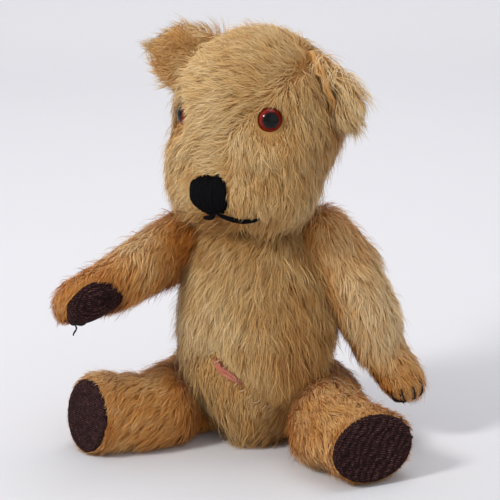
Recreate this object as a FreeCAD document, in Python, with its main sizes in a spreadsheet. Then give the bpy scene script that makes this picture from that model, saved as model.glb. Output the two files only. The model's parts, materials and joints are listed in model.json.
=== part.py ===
import FreeCAD, Part
import math
import os
import Sketcher

"""A seated teddy bear of mohair plush with five disc joints.

The bear faces -Y, its left side is +X and +Z is up. The origin is the middle of the flat seat under
the torso. Every cover is a closed bag of plush round a wood-wool stuffing. At each joint two hardboard
discs, one each side, are clamped by a cotter pin whose legs are curled over the inner washer.
"""

Vector = FreeCAD.Vector
Rotation = FreeCAD.Rotation
Placement = FreeCAD.Placement
X_AXIS = Vector(1, 0, 0)
Y_AXIS = Vector(0, 1, 0)
Z_AXIS = Vector(0, 0, 1)

# Driving dimensions in millimetres and degrees.
DIMENSIONS = {
    "cloth": 1.6,               # plush backing and the pads' cloth
    "slack": 0.3,               # stuffing to cover, and cover to cover across a joint
    "torso_height": 131.0,
    "torso_width": 87.0,
    "torso_depth": 80.0,
    "head_height": 107.5,
    "head_width": 93.0,
    "head_turn": -13.0,         # the head at rest looks a little to the bear's right
    "arm_length": 104.0,        # shoulder pin to paw tip
    "arm_width": 35.0,
    "arm_thick": 29.0,
    "paw_reach": 21.5,          # middle of the paw, out from the shoulder joint's face
    "pad_facing": -4.0,         # the paw pads face inwards and a little ahead
    "arm_flat": 70.0,           # how far down the arm its flat face beside the torso goes
    "leg_length": 86.0,         # hip pin to sole
    "leg_width": 43.6,
    "leg_thick": 37.0,
    "leg_flat": 36.0,
    "shoulder_reach": 30.6,     # shoulder pin from the middle plane
    "shoulder_height": 115.0,
    "shoulder_back": 4.0,
    "shoulder_tilt": 20.5,      # the shoulder pin's outer end is higher
    "shoulder_sweep": 14.0,     # and further back
    "hip_reach": 25.0,
    "hip_height": 26.0,
    "hip_back": 4.0,
    "hip_tilt": -18.0,
    "hip_sweep": 31.5,
    "left_arm_raise": 0.0,      # pose at rest: 0 hangs down, 90 points forward
    "right_arm_raise": 71.0,
    "left_leg_raise": 89.8,
    "right_leg_raise": 89.8,
    "left_foot_roll": 24.0,     # the left foot leans outwards
    "right_foot_roll": -6.0,
    "sole_tilt": 10.0,          # toes lean back from the heels
    "ear_reach": 25.0,
    "ear_width": 38.0,
    "ear_thick": 9.0,
    "eye_radius": 7.0,
    "eye_dome": 7.6,            # radius of the glass dome's surface
    "pupil_radius": 3.9,
    "pupil_depth": 1.2,
    "shank_radius": 0.6,
    "shank_length": 13.0,
    "left_eye_aside": 38.0,     # degrees round the head from straight ahead
    "right_eye_aside": 44.0,
    "left_eye_height": 66.8,    # over the bottom of the head
    "right_eye_height": 63.6,
    "nose_width": 23.0,
    "nose_height": 24.0,
    "nose_middle": 22.8,        # over the bottom of the head
    "mouth_level": 8.3,
    "nose_bottom": 15.0,        # width of the nose at its lower edge
    "nose_corner": 5.0,
    "stitch_low": 0.15,         # stitches lie between these two heights over the cover
    "stitch_high": 0.9,
    "nose_high": 1.8,
    "disc_thick": 2.5,
    "washer_thick": 0.8,
    "washer_radius": 7.0,
    "neck_disc": 15.0,
    "arm_disc": 9.5,
    "leg_disc": 12.5,
    "pin_radius": 1.5,
    "pin_fit": 0.06,            # radial running clearance of a pin in what turns on it
    "pin_play": 0.4,            # the curled legs stand this far off the inner washer
    "pin_leg": 0.7,
    "pin_curl": 2.0,
    "pin_eye": 2.0,
    "pin_wire": 1.0,
    "hollow_depth": 8.0,        # free depth in the stuffing over a joint's washer
    "seat_fit": 0.05,           # where a cover gives way to a disc or to a glass eye
}

os.makedirs("parts", exist_ok=True)
doc = FreeCAD.newDocument("JointedTeddyBear")
sheet = doc.addObject("Spreadsheet::Sheet", "Sizes")
for row, (alias, value) in enumerate(DIMENSIONS.items(), start=1):
    sheet.set("A%d" % row, alias)
    sheet.set("B%d" % row, str(value))
    sheet.setAlias("B%d" % row, alias)
doc.recompute()

subparts = []
THROUGH = 20.0                  # length of the tools that cut right through a cover


def size(alias):
    """The value that the sheet holds for this dimension."""
    return float(sheet.get(alias))


def bind(item, **expressions):
    """Binds properties of an object to expressions over the sheet."""
    for name, expression in expressions.items():
        item.setExpression(name, str(expression))


def finished(item, label, placement=None):
    """Gives a sub-part its name and its place, and puts it on the list of pieces to write."""
    item.Label = label
    if placement is not None:
        item.Placement = placement
    subparts.append(item)
    return item


def boolean(kind, name, base, tool):
    item = doc.addObject("Part::" + kind, name)
    item.Base = base
    item.Tool = tool
    return item


def joined(name, shapes):
    item = doc.addObject("Part::MultiFuse", name)
    item.Shapes = shapes
    return item


def cut_all(name, base, tools):
    """The base with every tool cut away, one after the other."""
    for number, tool in enumerate(tools):
        base = boolean("Cut", "%s_cut%d" % (name, number), base, tool)
    return base


def box(name, low, high, placement=None):
    """A block between two corners, in the frame that placement gives."""
    item = doc.addObject("Part::Box", name)
    item.Length = high[0] - low[0]
    item.Width = high[1] - low[1]
    item.Height = high[2] - low[2]
    corner = Placement(Vector(*low), Rotation())
    item.Placement = placement.multiply(corner) if placement else corner
    return item


def cylinder(name, radius, height, placement=None):
    """A cylinder whose radius and height are expressions over the sheet, along local +Z."""
    item = doc.addObject("Part::Cylinder", name)
    bind(item, Radius=radius, Height=height)
    if placement is not None:
        item.Placement = placement
    return item


def turned(axis, degrees):
    return Rotation(axis, degrees)


# ---------------------------------------------------------------- lofted bags

def lofted(name, sections):
    """A closed bag through ellipses. Each section gives its centre, its rotation, and the two radii
    as expressions over the sheet, the larger one first."""
    rings = []
    for number, (centre, rotation, major, minor) in enumerate(sections):
        ring = doc.addObject("Part::Ellipse", "%s_ring%d" % (name, number))
        bind(ring, MajorRadius=major, MinorRadius=minor)
        ring.Placement = Placement(centre, rotation)
        rings.append(ring)
    bag = doc.addObject("Part::Loft", name)
    bag.Sections = rings
    bag.Solid = True
    bag.Ruled = False
    return bag


def end_shift(number, count, grow):
    """Moves the first and the last section of a bag outwards as the bag grows."""
    if number == 0:
        return -grow
    if number == count - 1:
        return grow
    return 0.0


# height, half width and half depth, as parts of the torso's own
TORSO_OUTLINE = [
    (0.0, 0.42, 0.42),
    (0.023, 0.54, 0.55),
    (0.09, 0.70, 0.71),
    (0.19, 0.85, 0.84),
    (0.30, 0.945, 0.94),
    (0.40, 0.985, 0.985),
    (0.50, 1.0, 1.0),
    (0.67, 0.935, 0.935),
    (0.77, 0.875, 0.875),
    (0.85, 0.79, 0.79),
    (0.91, 0.70, 0.70),
    (0.955, 0.605, 0.61),
    (0.985, 0.50, 0.51),
    (1.0, 0.41, 0.42),
]


def torso_bag(name, grow):
    """The torso as an egg with a flat seat, its surface moved out by grow."""
    sections = []
    for number, (level, wide, deep) in enumerate(TORSO_OUTLINE):
        height = level * size("torso_height") + end_shift(number, len(TORSO_OUTLINE), grow)
        major = "Sizes.torso_width / 2 * %g + %g" % (wide, grow)
        minor = "Sizes.torso_depth / 2 * %g + %g" % (deep, grow)
        sections.append((Vector(0, 0, height), Rotation(), major, minor))
    return lofted(name, sections)


# height as part of the head's; half width, reach forward and reach back as parts of its half width
HEAD_OUTLINE = [
    (0.0, 0.39, 0.38, 0.38),
    (0.022, 0.51, 0.505, 0.48),
    (0.062, 0.69, 0.67, 0.63),
    (0.10, 0.83, 0.88, 0.74),
    (0.15, 0.92, 1.00, 0.82),
    (0.22, 0.975, 1.045, 0.89),
    (0.34, 0.995, 1.00, 0.945),
    (0.483, 1.0, 0.93, 0.98),
    (0.618, 0.98, 0.87, 0.957),
    (0.735, 0.914, 0.796, 0.89),
    (0.843, 0.775, 0.656, 0.753),
    (0.924, 0.58, 0.473, 0.57),
    (0.977, 0.355, 0.27, 0.345),
    (1.0, 0.17, 0.13, 0.165),
]


def head_base():
    """Height of the head's underside, just clear of the torso."""
    return size("torso_height") + size("slack")


def head_bag(name, grow):
    """The head facing -Y before it is turned, its surface moved out by grow. Its underside rises
    outwards from the neck, so that the snout passes over the shoulders."""
    sections = []
    half = size("head_width") / 2
    for number, (level, wide, front, back) in enumerate(HEAD_OUTLINE):
        height = head_base() + level * size("head_height")
        height += end_shift(number, len(HEAD_OUTLINE), grow)
        major = "Sizes.head_width / 2 * %g + %g" % (wide, grow)
        minor = "Sizes.head_width / 2 * %g + %g" % ((front + back) / 2, grow)
        centre = Vector(0, (back - front) / 2 * half, height)
        sections.append((centre, Rotation(), major, minor))
    return lofted(name, sections)


# along the arm from paw tip to shoulder: distance below the pin as part of the arm's length, distance
# of the middle line from the joint's face in half thicknesses, half width, half thickness
ARM_OUTLINE = [
    (1.0, 1.62, 0.29, 0.32),
    (0.977, 1.60, 0.52, 0.56),
    (0.92, 1.56, 0.72, 0.76),
    (0.83, 1.46, 0.80, 0.85),
    (0.70, 1.30, 0.765, 0.81),
    (0.50, 1.08, 0.86, 0.87),
    (0.25, 0.86, 0.955, 0.97),
    (0.045, 0.71, 1.0, 1.0),
    (-0.090, 0.68, 0.92, 0.90),
    (-0.155, 0.68, 0.66, 0.66),
    (-0.190, 0.68, 0.32, 0.35),
]


def arm_bag(name, side, grow):
    """An arm hanging along local -Z. Local X points away from the body on the arm's own side."""
    sections = []
    half_thick = size("arm_thick") / 2
    across = turned(Z_AXIS, 90)
    for number, (level, reach, wide, thick) in enumerate(ARM_OUTLINE):
        height = -level * size("arm_length") + end_shift(number, len(ARM_OUTLINE), grow)
        centre = Vector(side * reach * half_thick, 0, height)
        major = "Sizes.arm_width / 2 * %g + %g" % (wide, grow)
        minor = "Sizes.arm_thick / 2 * %g + %g" % (thick, grow)
        sections.append((centre, across, major, minor))
    return lofted(name, sections)


# along the leg from sole to thigh: distance below the pin, distance from the joint's face, shift
# towards the toes, half width, half thickness, and how far the foot's roll and tilt have come
LEG_OUTLINE = [
    (1.0, 0.97, 0.11, 0.92, 0.97, 1.0),
    (0.965, 0.97, 0.11, 0.995, 1.05, 1.0),
    (0.88, 0.96, 0.09, 0.98, 1.03, 0.9),
    (0.775, 0.88, -0.05, 0.85, 0.95, 0.5),
    (0.64, 0.80, -0.18, 0.79, 0.90, 0.15),
    (0.45, 0.70, -0.14, 0.88, 1.0, 0.0),
    (0.24, 0.68, -0.05, 0.95, 1.0, 0.0),
    (0.0, 0.67, 0.0, 1.0, 1.0, 0.0),
    (-0.14, 0.67, 0.0, 0.85, 0.88, 0.0),
    (-0.22, 0.67, 0.0, 0.53, 0.61, 0.0),
    (-0.255, 0.67, 0.0, 0.25, 0.28, 0.0),
]


def leg_bag(name, side, roll, grow):
    """A leg hanging along local -Z with its toes towards local -Y."""
    sections = []
    half_width = size("leg_width") / 2
    half_thick = size("leg_thick") / 2
    for number, (level, reach, shift, wide, thick, foot) in enumerate(LEG_OUTLINE):
        height = -level * size("leg_length") + end_shift(number, len(LEG_OUTLINE), grow)
        lean = turned(X_AXIS, -foot * size("sole_tilt"))
        rolled = turned(Z_AXIS, side * foot * roll)
        toes = rolled.multVec(Vector(0, -shift * half_width, 0))
        centre = Vector(side * reach * half_thick, 0, height) + toes
        major = "Sizes.leg_width / 2 * %g + %g" % (wide, grow)
        minor = "Sizes.leg_thick / 2 * %g + %g" % (thick, grow)
        turn = rolled.multiply(lean).multiply(turned(Z_AXIS, 90))
        sections.append((centre, turn, major, minor))
    return lofted(name, sections)


# ---------------------------------------------------------------- the joints' places

def joint_frame(centre, side, sweep, tilt, raised=0.0):
    """Frame of a limb joint. Local X is the pin, pointing to the bear's left, and the limb hangs
    along local -Z when it is not raised. Raising it swings it forward about the pin."""
    turn = turned(Z_AXIS, side * sweep)
    turn = turn.multiply(turned(Y_AXIS, -side * tilt))
    turn = turn.multiply(turned(X_AXIS, -raised))
    return Placement(centre, turn)


def shoulder_frame(side, raised=0.0):
    centre = Vector(side * size("shoulder_reach"), size("shoulder_back"), size("shoulder_height"))
    return joint_frame(centre, side, size("shoulder_sweep"), size("shoulder_tilt"), raised)


def hip_frame(side, raised=0.0):
    centre = Vector(side * size("hip_reach"), size("hip_back"), size("hip_height"))
    return joint_frame(centre, side, size("hip_sweep"), size("hip_tilt"), raised)


NECK_FRAME = Placement(Vector(0, 0, size("torso_height")), turned(Y_AXIS, -90))
HEAD_PLACE = Placement(Vector(0, 0, 0), turned(Z_AXIS, size("head_turn")))


def along_pin(side, distance):
    """Places something whose own +Z is to run outwards along a pin, distance out from the face of
    the torso. It is multiplied onto a joint's frame."""
    return Placement(Vector(side * distance, 0, 0), turned(Y_AXIS, 90 * side))


# ---------------------------------------------------------------- hardware of the joints

def disc_body(label, radius, bore, thick, placement):
    """A flat ring: hardboard disc or steel washer, padded from a sketch of two circles."""
    body = doc.addObject("PartDesign::Body", label)
    plane = [f for f in body.Origin.OriginFeatures if f.Role == "XY_Plane"][0]
    sketch = body.newObject("Sketcher::SketchObject", label + "_sketch")
    sketch.AttachmentSupport = [(plane, "")]
    sketch.MapMode = "FlatFace"
    for number, (name, expression) in enumerate((("outer", radius), ("bore", bore))):
        start = 10.0 - 5.0 * number
        sketch.addGeometry(Part.Circle(Vector(0, 0, 0), Z_AXIS, start), False)
        sketch.addConstraint(Sketcher.Constraint("Coincident", number, 3, -1, 1))
        last = sketch.addConstraint(Sketcher.Constraint("Radius", number, start))
        sketch.renameConstraint(last, name)
        sketch.setExpression("Constraints." + name, expression)
    pad = body.newObject("PartDesign::Pad", label + "_pad")
    pad.Profile = sketch
    bind(pad, Length=thick)
    sketch.Visibility = False
    return finished(body, label, placement)


def cotter_pin(label, frame, side):
    """A split pin: an eye on the outer side, a shank through both discs and two legs curled over
    the inner washer. Local +Z runs outwards along the pin."""
    stack = size("cloth") + size("disc_thick") + size("washer_thick")
    inner = -(stack + size("pin_play"))
    outer = size("slack") + stack
    into_eye = size("pin_wire") / 2
    shank = cylinder(label + "_shank", "Sizes.pin_radius", outer - inner + into_eye)
    shank.Placement = Placement(Vector(0, 0, inner), Rotation())
    eye = doc.addObject("Part::Torus", label + "_eye")
    bind(eye, Radius1="Sizes.pin_eye", Radius2="Sizes.pin_wire")
    eye_height = outer + size("pin_eye") + size("pin_wire") + 0.1
    eye.Placement = Placement(Vector(0, 0, eye_height), turned(X_AXIS, 90))
    pieces = [shank, eye]
    for number, way in enumerate((1, -1)):
        leg = doc.addObject("Part::Torus", "%s_leg%d" % (label, number))
        bind(leg, Radius1="Sizes.pin_curl", Radius2="Sizes.pin_leg")
        leg.Angle3 = 180
        centre = Vector(way * (size("pin_curl") + size("pin_leg") + 0.05), 0, inner)
        leg.Placement = Placement(centre, turned(X_AXIS, -90))
        pieces.append(leg)
    pin = joined(label, pieces)
    return finished(pin, label, frame.multiply(along_pin(side, 0)))


def joint_hardware(place, side, fixed_frame, moving_frame, disc, names):
    """Discs and washers both sides of one joint, and its pin. Returns what the torso's cover gives
    way to, the pin's hole and the disc's seat, and the two hollows that the hardware needs in the
    stuffing: inside the torso, and inside what moves."""
    cloth = size("cloth")
    disc_out = cloth + size("disc_thick")
    fit_bore = "Sizes.pin_radius + Sizes.pin_fit"
    disc_body(names["inner_disc"], disc, fit_bore, "Sizes.disc_thick",
              fixed_frame.multiply(along_pin(side, -disc_out)))
    disc_body(names["inner_washer"], "Sizes.washer_radius", fit_bore, "Sizes.washer_thick",
              fixed_frame.multiply(along_pin(side, -disc_out - size("washer_thick"))))
    face = size("slack") + cloth
    disc_body(names["outer_disc"], disc, fit_bore, "Sizes.disc_thick",
              moving_frame.multiply(along_pin(side, face)))
    disc_body(names["outer_washer"], "Sizes.washer_radius", fit_bore, "Sizes.washer_thick",
              moving_frame.multiply(along_pin(side, face + size("disc_thick"))))
    cotter_pin(names["pin"], moving_frame, side)
    depth = "Sizes.disc_thick + Sizes.washer_thick + Sizes.hollow_depth"
    room = "%s + Sizes.slack" % disc
    reach = size("disc_thick") + size("washer_thick") + size("hollow_depth")
    inner = cylinder(place + "_inner_room", room, depth,
                     fixed_frame.multiply(along_pin(side, -cloth - reach)))
    outer = cylinder(place + "_outer_room", room, depth,
                     moving_frame.multiply(along_pin(side, face)))
    hole = cylinder(place + "_hole", fit_bore, THROUGH,
                    fixed_frame.multiply(along_pin(side, -THROUGH / 2)))
    seat = cylinder(place + "_disc_seat", disc + " + Sizes.seat_fit * 2",
                    "Sizes.disc_thick + Sizes.seat_fit * 2",
                    fixed_frame.multiply(along_pin(side, -disc_out - size("seat_fit"))))
    return [hole, seat], inner, outer


def names_for(place):
    return {
        "inner_disc": place + "_inner_disc",
        "inner_washer": place + "_inner_washer",
        "outer_disc": place + "_outer_disc",
        "outer_washer": place + "_outer_washer",
        "pin": place + "_cotter_pin",
    }


# ---------------------------------------------------------------- limbs

def outside_block(name, side, distance, placement):
    """A block that holds everything further out along a pin than distance from the joint's face."""
    low = (distance, -60, -60) if side > 0 else (-80, -60, -60)
    high = (80, 60, 60) if side > 0 else (-distance, 60, 60)
    return box(name, low, high, placement)


def inside_block(name, side, distance, reach):
    """A block that holds a limb's stretch beside the torso, inwards of distance, in its own frame."""
    low = (-40, -40, -reach) if side > 0 else (-distance, -40, -reach)
    high = (distance, 40, 40) if side > 0 else (40, 40, 40)
    return box(name, low, high)


def limb(name, place, side, bag, frame_at, raised, disc, flat_reach, end_tool):
    """Cover, end pad and stuffing of one limb and the hardware of its joint. end_tool makes the
    region of the pad in the limb's own frame. Returns the pad and its place, and the openings in the
    torso's cover and the hollow in its stuffing."""
    fixed = frame_at(side)
    moving = frame_at(side, raised)
    slack = size("slack")
    cloth = size("cloth")
    openings, inner_room, outer_room = joint_hardware(
        place, side, fixed, moving, disc, names_for(place))
    outer_room.Placement = along_pin(side, slack + cloth)
    own_hole = cylinder(place + "_own_hole", "Sizes.pin_radius + Sizes.pin_fit", THROUGH,
                        along_pin(side, -THROUGH / 2))
    outside = boolean("Cut", name + "_outside", bag(name + "_skin", 0.0),
                      inside_block(name + "_face", side, slack, flat_reach))
    inside = boolean("Cut", name + "_inside", bag(name + "_lining", -cloth),
                     inside_block(name + "_inner_face", side, slack + cloth, flat_reach))
    shell = cut_all(name + "_shell", outside, [inside, own_hole])
    pad_region = end_tool(name + "_pad_region")
    pad = boolean("Common", name + "_pad", shell, pad_region)
    cover = boolean("Cut", name + "_cover", shell, pad_region)
    filling = cut_all(name + "_filling", bag(name + "_wool", -cloth - slack),
                      [inside_block(name + "_wool_face", side, 2 * slack + cloth, flat_reach),
                       outer_room])
    finished(cover, name + "_cover", moving)
    finished(filling, name + "_stuffing", moving)
    return pad, moving, openings, inner_room


def paw_region(side):
    """Where the paw's pad lies: an oval on the palm, which faces the body and backwards."""
    def make(name):
        oval = doc.addObject("Part::Ellipse", name + "_oval")
        bind(oval, MajorRadius="Sizes.arm_length * 0.165", MinorRadius="Sizes.arm_width * 0.37")
        upright = turned(Y_AXIS, -90)
        inward = 180 - size("pad_facing") if side > 0 else size("pad_facing")
        facing = turned(Z_AXIS, inward)
        middle = Vector(side * size("paw_reach"), 0, -0.85 * size("arm_length"))
        solid = doc.addObject("Part::Extrusion", name)
        solid.Base = oval
        solid.DirMode = "Custom"
        solid.Dir = facing.multVec(X_AXIS)
        solid.LengthFwd = 30
        solid.Solid = True
        oval.Placement = Placement(middle, facing.multiply(upright))
        return solid
    return make


def sole_region(side, roll):
    """Where the foot's pad lies: everything below the seam round the sole."""
    def make(name):
        tilt = turned(Z_AXIS, side * roll).multiply(turned(X_AXIS, -size("sole_tilt")))
        seam = Vector(0, 0, -0.985 * size("leg_length"))
        return box(name, (-70, -70, -60), (70, 70, 0), Placement(seam, tilt))
    return make


def stitch_band(name, bag):
    """The thin layer just over a cover in which stitches lie."""
    high = bag(name + "_over", size("stitch_high"))
    low = bag(name + "_under", size("stitch_low"))
    return boolean("Cut", name, high, low)


# length and width of each kind of stitch, and the depth of the block that is trimmed to the band
CLAW_STITCH = (11.0, 1.0, 9.0)
TOE_STITCH = (5.0, 0.9, 8.0)
MOUTH_STITCH = (13.0, 1.6, 30.0)
MEND_STITCH = (7.0, 0.8, 16.0)
SEAM_STITCH = (5.0, 0.8, 24.0)


def stitches(name, band, placements, length, width, depth):
    """Short straight stitches: thin blocks, each at its own place, trimmed to a band."""
    blocks = []
    for number, place in enumerate(placements):
        block = doc.addObject("Part::Box", "%s_block%d" % (name, number))
        block.Length = length
        block.Width = depth
        block.Height = width
        middle = Placement(Vector(-length / 2, -depth / 2, -width / 2), Rotation())
        block.Placement = place.multiply(middle)
        blocks.append(block)
    group = doc.addObject("Part::Compound", name + "_blocks")
    group.Links = blocks
    return boolean("Common", name, band, group)


# Degrees round the end of each paw, from straight ahead, where a claw stitch is left.
CLAW_LEANS = {"left": (-25, 3, 31, 59), "right": (150, 172)}


def arm(side, word, raised):
    """One arm with its pad and the claw stitches over the end of the paw."""
    name = word + "_arm"

    def bag(bag_name, grow):
        return arm_bag(bag_name, side, grow)

    pad, moving, openings, room = limb(name, word + "_shoulder", side, bag, shoulder_frame, raised,
                                   "Sizes.arm_disc", size("arm_flat"), paw_region(side))
    finished(pad, word + "_paw_pad", moving)
    band = stitch_band(name + "_band", bag)
    claws = []
    for lean in CLAW_LEANS[word]:
        around = turned(Z_AXIS, lean)
        centre = Vector(side * size("paw_reach"), 0, -0.95 * size("arm_length"))
        centre += around.multVec(Vector(0, -0.36 * size("arm_width"), 0))
        claws.append(Placement(centre, around.multiply(turned(Y_AXIS, 90))))
    finished(stitches(word + "_claws", band, claws, *CLAW_STITCH), word + "_claw_stitches", moving)
    return openings, room


def leg(side, word, raised, roll):
    """One leg with its foot pad."""
    name = word + "_leg"

    def bag(bag_name, grow):
        return leg_bag(bag_name, side, roll, grow)

    pad, moving, openings, room = limb(name, word + "_hip", side, bag, hip_frame, raised,
                                   "Sizes.leg_disc", size("leg_flat"), sole_region(side, roll))
    finished(pad, word + "_foot_pad", moving)
    return openings, room, bag, moving


# Degrees round the front of the left foot where a toe stitch is left.
TOE_LEANS = (-16, 0, 15)


def toe_stitches(bag, roll, moving):
    """The few stitches that are left at the toes of the left foot."""
    band = stitch_band("left_toe_band", bag)
    marks = []
    for lean in TOE_LEANS:
        around = turned(Z_AXIS, roll + lean)
        toe = around.multVec(Vector(0, -0.5 * size("leg_width"), 0))
        centre = Vector(0.97 * size("leg_thick") / 2, 0, -0.925 * size("leg_length")) + toe
        marks.append(Placement(centre, around.multiply(turned(Y_AXIS, 90))))
    finished(stitches("left_toes", band, marks, *TOE_STITCH), "left_toe_stitches", moving)


torso_openings = []
rooms = []
for side, word in ((1, "left"), (-1, "right")):
    openings, room = arm(side, word, size(word + "_arm_raise"))
    torso_openings += openings
    rooms.append(room)
    roll = size(word + "_foot_roll")
    openings, room, bag, moving = leg(side, word, size(word + "_leg_raise"), roll)
    torso_openings += openings
    rooms.append(room)
    if word == "left":
        toe_stitches(bag, roll, moving)


# ---------------------------------------------------------------- head

neck_openings, neck_room, head_room = joint_hardware(
    "neck", 1, NECK_FRAME, HEAD_PLACE.multiply(NECK_FRAME), "Sizes.neck_disc", names_for("neck"))
head_room.Placement = NECK_FRAME.multiply(along_pin(1, size("slack") + size("cloth")))
torso_openings += neck_openings
rooms.append(neck_room)


def eye_frame(side):
    """An eye's seat on the head: local +Z looks out of the head."""
    word = "left" if side > 0 else "right"
    half = size("head_width") / 2
    around = turned(Z_AXIS, side * size(word + "_eye_aside"))
    seat = Vector(0, 0, head_base() + size(word + "_eye_height"))
    seat += around.multVec(-Y_AXIS) * half * 0.935
    seat.y += 0.03 * half
    turn = around.multiply(turned(X_AXIS, 84))
    return Placement(seat, turn)


def glass_eye(side, word):
    """A round glass eye with a black pupil let into its back, and the wire that holds it. Returns
    what the head gives way to: the channel for the wire and the flat seat of the glass."""
    frame = HEAD_PLACE.multiply(eye_frame(side))
    rise = math.sqrt(size("eye_dome") ** 2 - size("eye_radius") ** 2)
    ball = doc.addObject("Part::Sphere", word + "_eye_ball")
    bind(ball, Radius="Sizes.eye_dome")
    ball.Angle1 = math.degrees(math.asin(rise / size("eye_dome")))
    ball.Placement = Placement(Vector(0, 0, -rise), Rotation())
    pocket = cylinder(word + "_eye_pocket", "Sizes.pupil_radius", "Sizes.pupil_depth + 1",
                      Placement(Vector(0, 0, -1), Rotation()))
    finished(boolean("Cut", word + "_eye_glass", ball, pocket), word + "_eye", frame)
    pupil = cylinder(word + "_eye_pupil", "Sizes.pupil_radius", "Sizes.pupil_depth")
    finished(pupil, word + "_pupil", frame)
    back = frame.multiply(Placement(Vector(0, 0, -size("shank_length")), Rotation()))
    wire = cylinder(word + "_wire", "Sizes.shank_radius", "Sizes.shank_length")
    finished(wire, word + "_eye_shank", back)
    channel = cylinder(word + "_eye_channel", "Sizes.shank_radius + 0.05",
                       "Sizes.shank_length + 3")
    deep = Placement(Vector(0, 0, -size("shank_length") - 1), Rotation())
    channel.Placement = eye_frame(side).multiply(deep)
    flat = Placement(Vector(0, 0, -size("seat_fit")), Rotation())
    seat = cylinder(word + "_eye_seat", "Sizes.eye_radius + Sizes.seat_fit * 3", "Sizes.eye_radius",
                    eye_frame(side).multiply(flat))
    return [channel, seat]


channels = glass_eye(1, "left") + glass_eye(-1, "right")
head_own_hole = cylinder("head_own_hole", "Sizes.pin_radius + Sizes.pin_fit", THROUGH,
                         NECK_FRAME.multiply(along_pin(1, -THROUGH / 2)))
head_shell = cut_all("head_shell", head_bag("head_skin", 0.0),
                     [head_bag("head_lining", -size("cloth")), head_own_hole] + channels)
finished(head_shell, "head_cover", HEAD_PLACE)
head_filling = cut_all("head_filling", head_bag("head_wool", -size("cloth") - size("slack")),
                       [head_room] + channels)
finished(head_filling, "head_stuffing", HEAD_PLACE)

EAR_PLACES = {
    "left": (1, Vector(40.0, 5.0, 212.0), -28.0),
    "right": (-1, Vector(-38.5, 5.0, 217.0), 20.0),
}
ear_clearance = head_bag("head_ear_line", size("stitch_low"))
for word, (side, seat, rise) in EAR_PLACES.items():
    tilt = Placement(seat, turned(Y_AXIS, -side * rise))
    lobe = doc.addObject("Part::Ellipsoid", word + "_ear_lobe")
    bind(lobe, Radius1="Sizes.ear_width / 2", Radius2="Sizes.ear_reach", Radius3="Sizes.ear_thick / 2")
    lobe.Angle1 = -90
    lobe.Placement = tilt
    hollow = doc.addObject("Part::Ellipsoid", word + "_ear_hollow")
    bind(hollow, Radius1="Sizes.ear_width * 0.37", Radius2="Sizes.ear_reach * 0.78",
         Radius3="Sizes.ear_thick * 0.38")
    hollow.Angle1 = -90
    hollow.Placement = tilt.multiply(Placement(Vector(0, -0.5 * size("ear_thick"), 0), Rotation()))
    cupped = cut_all(word + "_ear_form", lobe, [hollow, ear_clearance])
    finished(cupped, word + "_ear", HEAD_PLACE)


def nose_block():
    """The nose's outline, a shield with rounded corners, padded straight through the snout."""
    body = doc.addObject("PartDesign::Body", "nose_block")
    plane = [f for f in body.Origin.OriginFeatures if f.Role == "XZ_Plane"][0]
    sketch = body.newObject("Sketcher::SketchObject", "nose_sketch")
    sketch.AttachmentSupport = [(plane, "")]
    sketch.MapMode = "FlatFace"
    half_top = size("nose_width") / 2
    half_low = size("nose_bottom") / 2
    half_high = size("nose_height") / 2
    corners = [(-half_top, half_high), (-half_low, -half_high),
               (half_low, -half_high), (half_top, half_high)]
    for number, start in enumerate(corners):
        stop = corners[(number + 1) % 4]
        sketch.addGeometry(Part.LineSegment(Vector(*start, 0), Vector(*stop, 0)), False)
    for number in range(4):
        sketch.addConstraint(Sketcher.Constraint("Coincident", number, 2, (number + 1) % 4, 1))
    named = [
        ("half_top", ("DistanceX", -1, 1, 2, 2, half_top), "Sizes.nose_width / 2"),
        ("half_low", ("DistanceX", -1, 1, 1, 2, half_low), "Sizes.nose_bottom / 2"),
        ("upper", ("DistanceY", -1, 1, 2, 2, half_high), "Sizes.nose_height / 2"),
        ("lower", ("DistanceY", 1, 2, -1, 1, half_high), "Sizes.nose_height / 2"),
    ]
    for name, values, expression in named:
        last = sketch.addConstraint(Sketcher.Constraint(*values))
        sketch.renameConstraint(last, name)
        sketch.setExpression("Constraints." + name, expression)
    sketch.addConstraint(Sketcher.Constraint("Symmetric", 0, 1, 2, 2, -2))
    sketch.addConstraint(Sketcher.Constraint("Symmetric", 0, 2, 1, 2, -2))
    pad = body.newObject("PartDesign::Pad", "nose_pad")
    pad.Profile = sketch
    pad.Length = 1.5 * size("head_width") / 2
    doc.recompute()
    upright = ["Edge%d" % (number + 1) for number, edge in enumerate(pad.Shape.Edges)
               if abs(edge.tangentAt(edge.FirstParameter).y) > 0.99]
    rounding = body.newObject("PartDesign::Fillet", "nose_rounding")
    rounding.Base = (pad, upright)
    bind(rounding, Radius="Sizes.nose_corner")
    body.Placement = Placement(Vector(0, 0, head_base() + size("nose_middle")), Rotation())
    return body


nose_over = head_bag("nose_over", size("nose_high"))
nose_band = boolean("Cut", "nose_band", nose_over, ear_clearance)
finished(boolean("Common", "nose_stitches_form", nose_band, nose_block()), "nose_stitches", HEAD_PLACE)

mouth_band = stitch_band("mouth_band", head_bag)
mouth_height = head_base() + size("mouth_level")
strokes = [
    Placement(Vector(10.0, -42.0, mouth_height), turned(Y_AXIS, 5)),
    Placement(Vector(-5.5, -42.0, mouth_height), turned(Y_AXIS, -12)),
]
finished(stitches("mouth", mouth_band, strokes, *MOUTH_STITCH), "mouth_stitches", HEAD_PLACE)


# ---------------------------------------------------------------- torso

def torso_trimmed(name, grow):
    """The torso's egg with a flat face for each limb's disc."""
    blocks = []
    for side in (1, -1):
        for word, frame_at in (("shoulder", shoulder_frame), ("hip", hip_frame)):
            block_name = "%s_%s%d" % (name, word, side + 1)
            blocks.append(outside_block(block_name, side, grow, frame_at(side)))
    return cut_all(name, torso_bag(name + "_egg", grow), blocks)


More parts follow.
